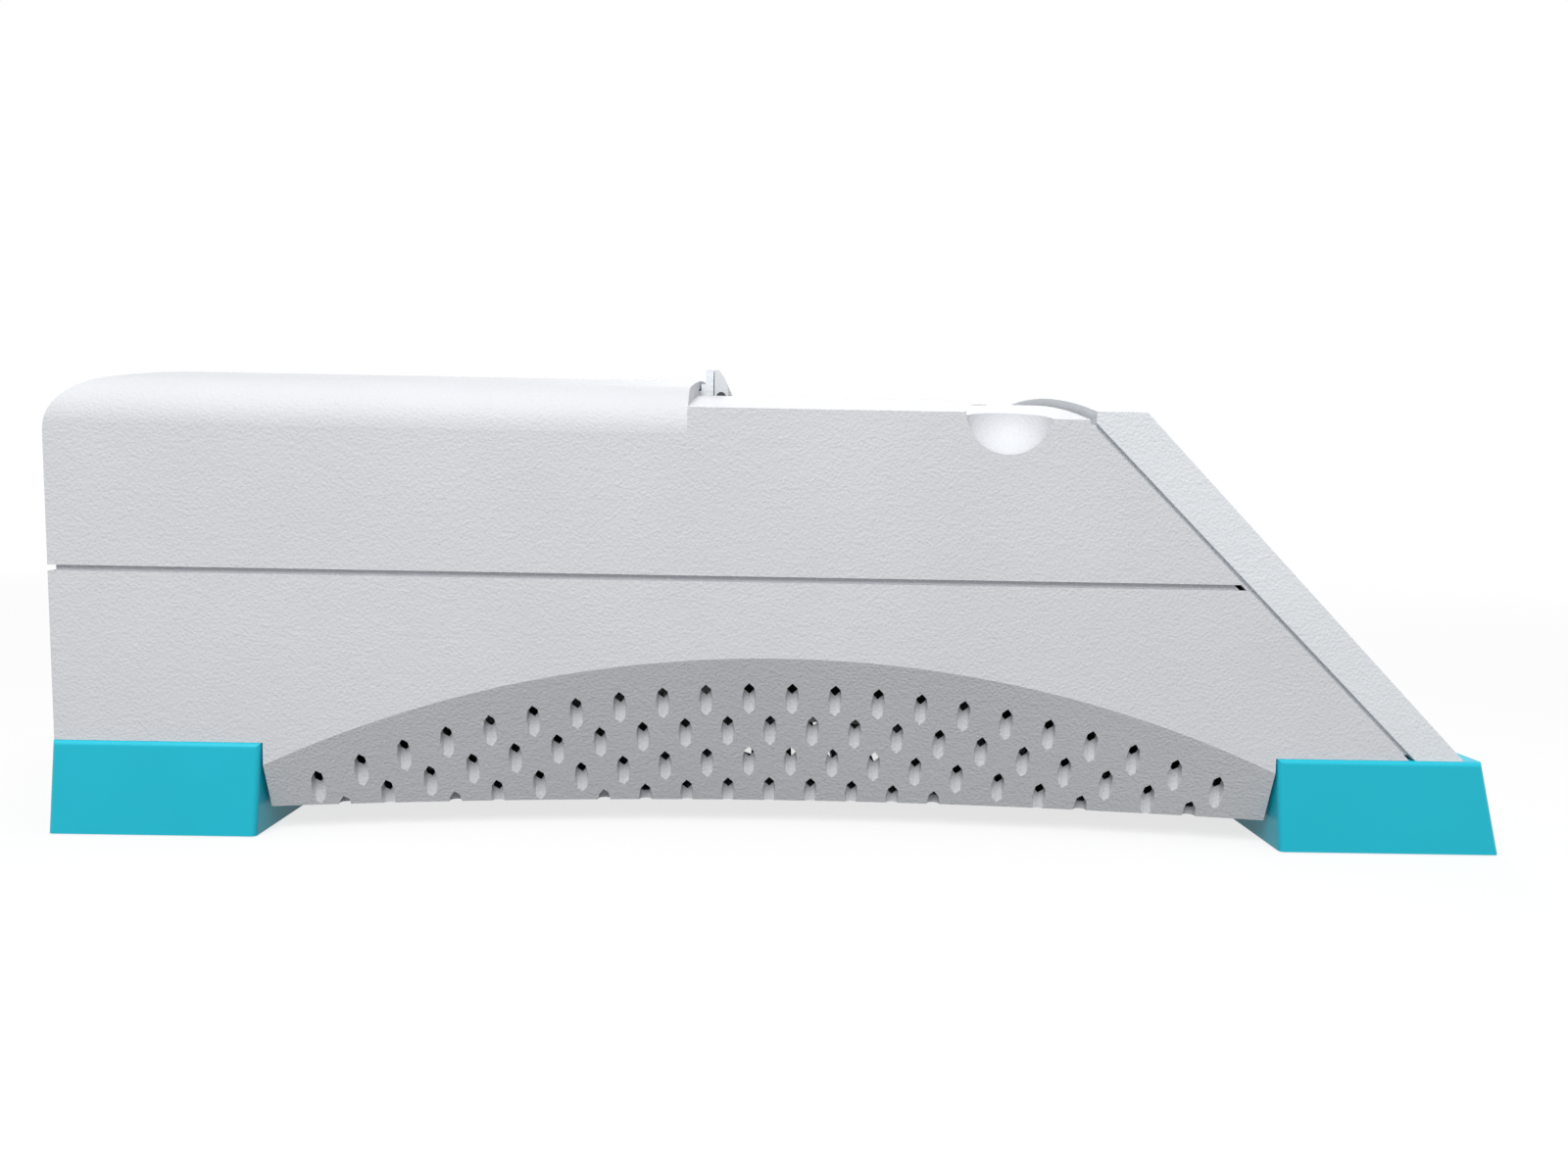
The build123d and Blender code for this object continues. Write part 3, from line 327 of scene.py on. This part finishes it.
def clear_acrylic(name):
    """Cast acrylic window, smoked and polished: clear gloss over the dark display."""
    material, tree, shader = new_material(name, linear("5A625E"), 0.06, ior=1.49)
    shader.inputs["Transmission Weight"].default_value = 0.75
    relief(tree, shader, object_noise(tree, 20 * MM), 0.005 * MM, 0.2)
    return material


def give(material, *names):
    """Puts the material in every slot of the named nodes, or of the given pieces."""
    for name in names:
        piece = NODES[name] if isinstance(name, str) else name
        if not piece.data.materials:
            piece.data.materials.append(material)
        for place in range(len(piece.data.materials)):
            piece.data.materials[place] = material


# Meshes


def new_piece(name, points, faces, material, smooth_angle=35.0):
    """A piece from numpy points and faces, merged and with its normals outwards."""
    mesh = bpy.data.meshes.new(name)
    mesh.from_pydata(points.reshape(-1, 3), [], faces.tolist())
    made = bmesh.new()
    made.from_mesh(mesh)
    bmesh.ops.remove_doubles(made, verts=made.verts, dist=1e-6)
    bmesh.ops.recalc_face_normals(made, faces=made.faces)
    made.to_mesh(mesh)
    made.free()
    mesh.shade_smooth()
    mesh.set_sharp_from_angle(angle=math.radians(smooth_angle))
    piece = bpy.data.objects.new(name, mesh)
    bpy.context.scene.collection.objects.link(piece)
    mesh.materials.append(material)
    return piece


def grid_faces(rows, columns, closed=False, first=0):
    """Four-cornered faces of a grid of points, whose rows may close on themselves."""
    across = columns if closed else columns - 1
    row, column = np.meshgrid(np.arange(rows - 1), np.arange(across), indexing="ij")
    here = first + row * columns + column
    after = first + row * columns + (column + 1) % columns
    return np.stack([here, after, after + columns, here + columns], axis=-1).reshape(-1, 4)


def block_with_wells(low, high, sizes):
    """Points and faces of the sample block. Each well has a cell, a grid of angle by step: the
    first step is the cell's square edge, the next is the mouth's chamfer, and the rest go down
    a cone to a round end. The outer steps of the end cells reach out to the block's edge."""
    pitch, mouth, depth = sizes.well_pitch, sizes.well_mouth, sizes.well_depth
    rows, columns = WELLS
    around = CELL_SIDES
    angle = np.arange(around) * 2 * math.pi / around
    ray = np.stack([np.cos(angle), np.sin(angle)])
    square = ray / np.abs(ray).max(axis=0) * pitch / 2
    radii = np.array([mouth + MOUTH_CHAMFER, mouth, mouth * 0.72, mouth * 0.45, mouth * 0.28, 0.0])
    falls = np.array([0.0, MOUTH_CHAMFER, depth * 0.55, depth * 0.92, depth * 0.985, depth])
    steps = len(radii) + 1
    cell = np.zeros((steps, around, 3))
    cell[0, :, :2] = square.T
    cell[1:, :, :2] = radii[:, None, None] * ray.T[None]
    cell[1:, :, 2] = -falls[:, None]
    middle = (low + high) / 2
    x = middle[0] + (np.arange(rows) - (rows - 1) / 2) * pitch
    y = middle[1] + (np.arange(columns) - (columns - 1) / 2) * pitch
    centre = np.stack([*np.meshgrid(x, y, indexing="ij"), np.full((rows, columns), high[2])], -1)
    points = centre[:, :, None, None] + cell[None, None]
    edge_y = high[1] - BLOCK_FOOT - middle[1]
    outer = np.abs(points[..., 1] - middle[1]) > columns * pitch / 2 - 1e-6
    points[..., 1] = np.where(
        outer, middle[1] + np.sign(points[..., 1] - middle[1]) * edge_y, points[..., 1]
    )
    one = grid_faces(steps, around, closed=True)
    starts = np.arange(rows * columns) * steps * around
    faces = (one[None] + starts[:, None, None]).reshape(-1, 4)
    return points.reshape(-1, 3), faces


def block_skirt(low, high, pitch, first):
    """The block's sides: its top edge, with the same points as the cells, carried down to the
    flange, out, and down again, then closed to the middle of the underside. first is the number
    of its first point."""
    rows, columns = WELLS
    foot = BLOCK_FOOT
    flange_top = low[2] + foot
    middle = (low + high) / 2
    part = np.tan(np.radians([-45, -22.5, 0, 22.5])) / 2
    along_x = ((np.arange(rows)[:, None] + 0.5 + part[None]) * pitch).ravel() - rows * pitch / 2
    along_y = ((np.arange(columns)[:, None] + 0.5 + part[None]) * pitch).ravel()
    along_y = along_y - columns * pitch / 2
    along_y[0] = -(high[1] - foot - middle[1])
    half = np.array([rows * pitch / 2, high[1] - foot - middle[1]])
    sides = [
        np.stack([along_x, np.full_like(along_x, -half[1])], -1),
        np.stack([np.full_like(along_y, half[0]), along_y], -1),
        np.stack([-along_x, np.full_like(along_x, half[1])], -1),
        np.stack([np.full_like(along_y, -half[0]), -along_y], -1),
    ]
    ring = np.concatenate(sides)
    grown = ring * (half + foot) / half
    count = len(ring)
    heights = (high[2], flange_top, flange_top, low[2], low[2])
    outlines = (ring, ring, grown, grown, grown * 0)
    rings = [
        np.column_stack([outline + middle[:2], np.full(count, z)])
        for outline, z in zip(outlines, heights)
    ]
    return np.concatenate(rings), grid_faces(5, count, closed=True, first=first)


def turned(profile, centres, around=32):
    """Pieces turned about upright axes: the profile of (radius, height) is carried round each
    centre. Points and faces of them all."""
    angle = np.arange(around) * 2 * math.pi / around
    profile = np.asarray(profile)
    one = np.empty((len(profile), around, 3))
    one[..., 0] = profile[:, :1] * np.cos(angle)
    one[..., 1] = profile[:, :1] * np.sin(angle)
    one[..., 2] = profile[:, 1:]
    centres = np.asarray(centres)
    points = centres[:, None, None] + one[None]
    faces = grid_faces(len(profile), around, closed=True)
    starts = np.arange(len(centres)) * len(profile) * around
    return points.reshape(-1, 3), (faces[None] + starts[:, None, None]).reshape(-1, 4)


def box_of(name):
    """Low and high corner of a node as arrays."""
    low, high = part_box(name)
    return np.array(low), np.array(high)


# Operators


class CYCLER_OT_housing(Operator):
    """Give the moulded shells and the bezel their finishes"""

    bl_idname = "cycler.housing"
    bl_label = "Housing"

    def execute(self, context):
        colours, sizes = context.scene.cycler_colours, context.scene.cycler_sizes
        shell = textured_abs("ABS shell", colours.housing, sizes.grain, sizes.grain_depth)
        give(shell, "lower_housing", "upper_housing")
        front = textured_abs("ABS bezel", colours.bezel, sizes.grain, sizes.grain_depth)
        give(front, "front_bezel")
        return {"FINISHED"}


class CYCLER_OT_feet(Operator):
    """Give the corner feet and the screws their finishes and turn the rubber pads under the feet"""

    bl_idname = "cycler.feet"
    bl_label = "Feet"

    def execute(self, context):
        teal = smooth_plastic("Polypropylene feet", context.scene.cycler_colours.feet, 0.38)
        names = [name for name in NODES if name.startswith(("foot_front", "foot_rear"))]
        if len(names) != 4:
            raise RuntimeError("the frame should have four corner feet")
        give(teal, *names)
        low, high = box_of("foot_pads")
        height = high[2] - low[2]
        across = PAD_RADIUS * math.cos(math.pi / PAD_SIDES)
        places = [
            (x, y, 0.0)
            for x in (low[0] + PAD_RADIUS, high[0] - PAD_RADIUS)
            for y in (low[1] + across, high[1] - across)
        ]
        profile = [
            (0.0, 0.6 * MM),
            (4.0 * MM, 0.6 * MM),
            (4.4 * MM, 0.0),
            (6.0 * MM, 0.0),
            (6.4 * MM, 0.5 * MM),
            (7.4 * MM, 0.5 * MM),
            (7.8 * MM, 0.0),
            (9.6 * MM, 0.0),
            (10.4 * MM, 0.8 * MM),
            (10.4 * MM, height),
            (0.0, height),
        ]
        rubber = soft_rubber("Moulded rubber", linear("2A2A2C"))
        pads = new_piece("rubber_pads", *turned(profile, places), rubber)
        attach(pads, "housing")
        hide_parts("foot_pads")
        zinc = metal("Zinc-plated steel screw", linear("C9CBCB"), 0.32, grain=0.4)
        give(zinc, "foot_screws", "chassis_screws")
        return {"FINISHED"}


class CYCLER_OT_block(Operator):
    """Build the machined block with its tapered wells, and finish what lies round it"""

    bl_idname = "cycler.block"
    bl_label = "Sample block"

    def execute(self, context):
        sizes = context.scene.cycler_sizes
        low, high = box_of("sample_block")
        room = (high - low)[:2] - 2 * BLOCK_FOOT
        if any(room < np.array(WELLS) * sizes.well_pitch - MOUTH_CHAMFER):
            raise RuntimeError("the block should have room for eight by twelve wells")
        points, faces = block_with_wells(low, high, sizes)
        more, skirt = block_skirt(low, high, sizes.well_pitch, len(points))
        milled = metal("Machined aluminium", linear("D5D7DA"), 0.30, (1.0, 0.06, 1.0), 0.7)
        block = new_piece(
            "well_block", np.concatenate([points, more]), np.concatenate([faces, skirt]), milled
        )
        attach(block, "housing")
        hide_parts("sample_block")
        give(milled, "heated_platen")
        give(metal("Extruded aluminium", linear("BFC2C6"), 0.42, (1.0, 0.05, 1.0)), "heat_sink")
        give(soft_rubber("Foam rubber seal", linear("2E2E30")), "block_seal")
        give(soft_rubber("Silicone heater mat", linear("A5422C")), "heater_mat")
        alumina = smooth_plastic("Alumina ceramic", linear("EDECE6"), 0.55, ior=1.76)
        give(alumina, "peltier_modules")
        return {"FINISHED"}


class CYCLER_OT_cover(Operator):
    """Finish the sliding cover, its rails, its lever and the lever's pin"""

    bl_idname = "cycler.cover"
    bl_label = "Cover and lever"

    def execute(self, context):
        colours, sizes = context.scene.cycler_colours, context.scene.cycler_sizes
        body = textured_abs("ABS cover", colours.bezel, sizes.grain, sizes.grain_depth)
        give(body, "cover_carriage", "cover_end_cap")
        bar = textured_abs("ABS lever", colours.lever, sizes.grain, sizes.grain_depth * 0.7)
        give(bar, "lever_bar")
        give(metal("Blackened steel pin", linear("4A4B4C"), 0.42, grain=0.5), "lever_pin")
        ground = metal("Ground steel", linear("C4C6C8"), 0.25, (0.05, 1.0, 1.0), 0.5)
        give(ground, "cover_rail_left", "cover_rail_right", "platen_guides", "board_standoffs")
        return {"FINISHED"}


class CYCLER_OT_controls(Operator):
    """Finish the keys and the display, and set the figures and arrows on the keys"""

    bl_idname = "cycler.controls"
    bl_label = "Controls"

    def execute(self, context):
        keys = smooth_plastic("Silicone-coated keys", linear("D3D9DE"), 0.48)
        give(keys, *node_keys())
        give(clear_acrylic("Smoked acrylic"), "display_window")
        give(smooth_plastic("Display glass", linear("56635A"), 0.22), "lcd_module")
        give(circuit_laminate("Glass-epoxy laminate"), "key_board", "main_board", "supply_board")
        ink = smooth_plastic("Printed ink", linear("2C3A48"), 0.5, drift=0.03)
        # All keys are pressed along one line, square to the panel
        press = next(j for j in frame["joints"] if j["name"] == "key_0_press")
        outwards = -np.array(press["axis"], float)
        up = np.array([-outwards[2], 0.0, outwards[0]])
        for name in node_keys():
            self.mark(name, outwards, up, ink, context.scene.cycler_sizes.mark_height)
        return {"FINISHED"}

    def figure(self, digit, height):
        """A flat digit as a mesh, lying in XY about the origin."""
        words = bpy.data.curves.new(f"figure_{digit}", "FONT")
        words.body = digit
        words.size = height * FIGURE_SIZE
        words.align_x, words.align_y = "CENTER", "CENTER"
        words.extrude = INK
        text = bpy.data.objects.new(f"figure_{digit}", words)
        bpy.context.scene.collection.objects.link(text)
        mesh = bpy.data.meshes.new_from_object(text)
        bpy.data.objects.remove(text)
        return mesh

    def sign(self, kind, height):
        """A flat sign as a mesh: its outline below and above XY, closed by a strip round it."""
        flat = np.array(SIGNS[kind]) * height * SIGN_SIZE
        count = len(flat)
        points = np.concatenate(
            [np.column_stack([flat, np.full(count, z)]) for z in (-INK, INK)]
        )
        ring = np.arange(count)
        after = (ring + 1) % count
        sides = np.stack([ring, after, after + count, ring + count], -1)
        mesh = bpy.data.meshes.new(f"sign_{kind}")
        mesh.from_pydata(points, [], [list(ring[::-1]), list(ring + count), *sides.tolist()])
        return mesh

    def mark(self, name, outwards, up, ink, height):
        """One thin raised figure or sign in the middle of a key's top."""
        verts = np.empty(len(NODES[name].data.vertices) * 3)
        NODES[name].data.vertices.foreach_get("co", verts)
        verts = verts.reshape(-1, 3)
        reach = verts @ outwards
        rim = verts[reach > reach.max() - 0.01 * MM]
        top = (rim.min(axis=0) + rim.max(axis=0)) / 2
        last = name.split("_")[1]
        mesh = self.figure(last, height) if last.isdigit() else self.sign(last, height)
        across = np.cross(up, outwards)
        turn = Matrix(np.column_stack([across, up, outwards]).tolist()).to_4x4()
        turn.translation = (top + outwards * INK).tolist()
        mesh.transform(turn)
        piece = bpy.data.objects.new(f"mark_{last}", mesh)
        bpy.context.scene.collection.objects.link(piece)
        mesh.materials.clear()
        mesh.materials.append(ink)
        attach(piece, f"{name}_cap")


class CYCLER_OT_fittings(Operator):
    """Finish the rear fittings and what is inside"""

    bl_idname = "cycler.fittings"
    bl_label = "Fittings and inside"

    def execute(self, context):
        black = smooth_plastic("Black nylon", linear("232326"), 0.42, ior=1.53)
        give(black, "power_inlet", "fuse_drawer", "switch_body", "switch_rocker")
        fans = [name for name in NODES if name.startswith("fan_")]
        give(smooth_plastic("Black fan plastic", linear("1C1C1E"), 0.5), *fans)
        sheet = metal("Zinc-coated sheet steel", linear("B9BDBE"), 0.4, grain=6.0)
        plates = [name for name in NODES if name.startswith("sink_bracket")]
        give(sheet, "chassis_plate", "supply_case", *plates)
        give(metal("Tin-plated steel", linear("D0D2D2"), 0.28, grain=0.6), "serial_port")
        return {"FINISHED"}


class CYCLER_OT_stage(Operator):
    """Set the camera at the photograph's angle, the pale floor and the soft lamps"""

    bl_idname = "cycler.stage"
    bl_label = "Studio"

    def execute(self, context):
        studio = context.scene.cycler_studio
        self.camera(context, studio)
        self.floor(studio.white)
        self.lamps(context, studio)
        context.scene.view_settings.view_transform = "Standard"
        return {"FINISHED"}

    def camera(self, context, studio):
        """The camera's turn from the vanishing point of the +Y edges and the level edges' fall."""
        centre = np.array(PICTURE) / 2
        along_y = np.array([studio.vanish_x - centre[0], studio.vanish_y - centre[1], studio.focal])
        along_y /= np.linalg.norm(along_y)
        fall = studio.roll
        along_x = np.array([1.0, fall, -(along_y[0] + along_y[1] * fall) / along_y[2]])
        along_x /= np.linalg.norm(along_x)
        world = np.stack([along_x, along_y, np.cross(along_x, along_y)], axis=1)
        turn = Matrix([world[0], -world[1], -world[2]]).transposed().to_4x4()
        data = bpy.data.cameras.new("Camera")
        data.sensor_width = 36.0
        data.lens = studio.focal * data.sensor_width / PICTURE[0]
        data.clip_start, data.clip_end = 0.01, 20.0
        camera = bpy.data.objects.new("Camera", data)
        context.scene.collection.objects.link(camera)
        camera.matrix_world = Matrix.Translation(studio.place) @ turn
        context.scene.camera = camera

    def seen_directly(self, tree):
        """A socket that is 1 for the eye's rays and those by way of gloss or glass, else 0."""
        rays = add_node(tree, "ShaderNodeLightPath").outputs
        socket = rays["Is Camera Ray"]
        for other in ("Is Glossy Ray", "Is Transmission Ray"):
            socket = add_node(
                tree,
                "ShaderNodeMath",
                links=[(socket, 0), (rays[other], 1)],
                operation="MAXIMUM",
            ).outputs[0]
        return socket

    def floor(self, white_part):
        """A cove: a level floor that rises behind in a quarter circle, carried along X. The eye
        sees it white with the object's shadow, and wholly white farther out; as a source of
        bounced light it is a dark grey."""
        bend = np.linspace(0, math.pi / 2, 17)
        radius, back = 1.2, 1.4
        front, height, half_width = -3.0, 5.0, 5.0
        round_part = zip(back + radius * np.sin(bend), radius * (1 - np.cos(bend)))
        profile = np.array([(front, 0.0), *round_part, (back + radius, height)])
        x = np.linspace(-half_width, half_width, 3)
        points = np.empty((len(x), len(profile), 3))
        points[..., 0] = x[:, None]
        points[..., 1:] = profile[None]
        material, tree, shader = new_material("Painted cove", linear("F4F4F4"), 0.9)
        seen = self.seen_directly(tree)
        place = add_node(tree, "ShaderNodeTexCoord").outputs["Object"]
        away = add_node(tree, "ShaderNodeVectorMath", links=[(place, 0)], operation="LENGTH")
        share = add_node(
            tree,
            "ShaderNodeMapRange",
            links=[(away.outputs["Value"], 0)],
            From_Min=0.35,
            From_Max=1.3,
            To_Min=white_part,
            To_Max=1.0,
        )
        part = add_node(
            tree,
            "ShaderNodeMath",
            links=[(seen, 0), (share.outputs[0], 1)],
            operation="MULTIPLY",
        )
        tone = add_node(tree, "ShaderNodeMapRange", links=[(seen, 0)], To_Min=0.16, To_Max=0.9)
        tree.links.new(tone.outputs[0], shader.inputs["Base Color"])
        white = add_node(tree, "ShaderNodeEmission", Color=(1, 1, 1, 1), Strength=1.0)
        mixed = add_node(
            tree,
            "ShaderNodeMixShader",
            links=[(part.outputs[0], 0), (shader.outputs[0], 1), (white.outputs[0], 2)],
        )
        output = next(n for n in tree.nodes if n.bl_idname == "ShaderNodeOutputMaterial")
        tree.links.new(mixed.outputs[0], output.inputs["Surface"])
        cove = new_piece("cove", points, grid_faces(len(x), len(profile)), material, 180.0)

    def lamps(self, context, studio):
        """Even sky, a broad lamp above the camera and a weaker one above the far side."""
        world = bpy.data.worlds.new("Sky")
        context.scene.world = world
        world.use_nodes = True
        tree = world.node_tree
        sky = tree.nodes["Background"]
        sky.inputs["Color"].default_value = (1, 1, 1, 1)
        seen = self.seen_directly(tree)
        strength = add_node(
            tree, "ShaderNodeMapRange", links=[(seen, 0)], To_Min=studio.sky, To_Max=1.0
        )
        tree.links.new(strength.outputs[0], sky.inputs["Strength"])
        for name, power, size, place in (
            ("Key lamp", studio.key_lamp, 0.9, (-0.15, -1.07, 1.19)),
            ("Back lamp", studio.back_lamp, 0.9, (0.2, 1.35, 0.75)),
        ):
            light = bpy.data.lights.new(name, "AREA")
            light.energy, light.size = power, size
            lamp = bpy.data.objects.new(name, light)
            context.scene.collection.objects.link(lamp)
            lamp.location = place
            lamp.rotation_mode = "QUATERNION"
            lamp.rotation_quaternion = lamp.location.to_track_quat("Z", "Y")


class CYCLER_PT_panel(Panel):
    """Sidebar panel with the sizes, the colours and the operators"""

    bl_idname = "CYCLER_PT_panel"
    bl_label = "Thermal cycler"
    bl_space_type = "VIEW_3D"
    bl_region_type = "UI"
    bl_category = "Cycler"

    def draw(self, context):
        for group in (
            context.scene.cycler_colours,
            context.scene.cycler_sizes,
            context.scene.cycler_studio,
        ):
            box = self.layout.box()
            for name in group.bl_rna.properties.keys():
                if name not in ("rna_type", "name"):
                    box.prop(group, name)
        for operator in OPERATORS:
            self.layout.operator(operator.bl_idname)


GROUPS = (CyclerColours, CyclerSizes, CyclerStudio)
OPERATORS = (
    CYCLER_OT_housing,
    CYCLER_OT_feet,
    CYCLER_OT_block,
    CYCLER_OT_cover,
    CYCLER_OT_controls,
    CYCLER_OT_fittings,
    CYCLER_OT_stage,
)


def register():
    """Registers the classes and ties the groups of properties to the scene."""
    for group in (*GROUPS, *OPERATORS, CYCLER_PT_panel):
        bpy.utils.register_class(group)
    bpy.types.Scene.cycler_colours = PointerProperty(type=CyclerColours)
    bpy.types.Scene.cycler_sizes = PointerProperty(type=CyclerSizes)
    bpy.types.Scene.cycler_studio = PointerProperty(type=CyclerStudio)


def unregister():
    """Takes away what register made."""
    for name in ("cycler_colours", "cycler_sizes", "cycler_studio"):
        delattr(bpy.types.Scene, name)
    for group in reversed((*GROUPS, *OPERATORS, CYCLER_PT_panel)):
        bpy.utils.unregister_class(group)


def main():
    """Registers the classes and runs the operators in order."""
    register()
    for operator in OPERATORS:
        group, name = operator.bl_idname.split(".")
        getattr(getattr(bpy.ops, group), name)()


if __name__ == "__main__":
    main()
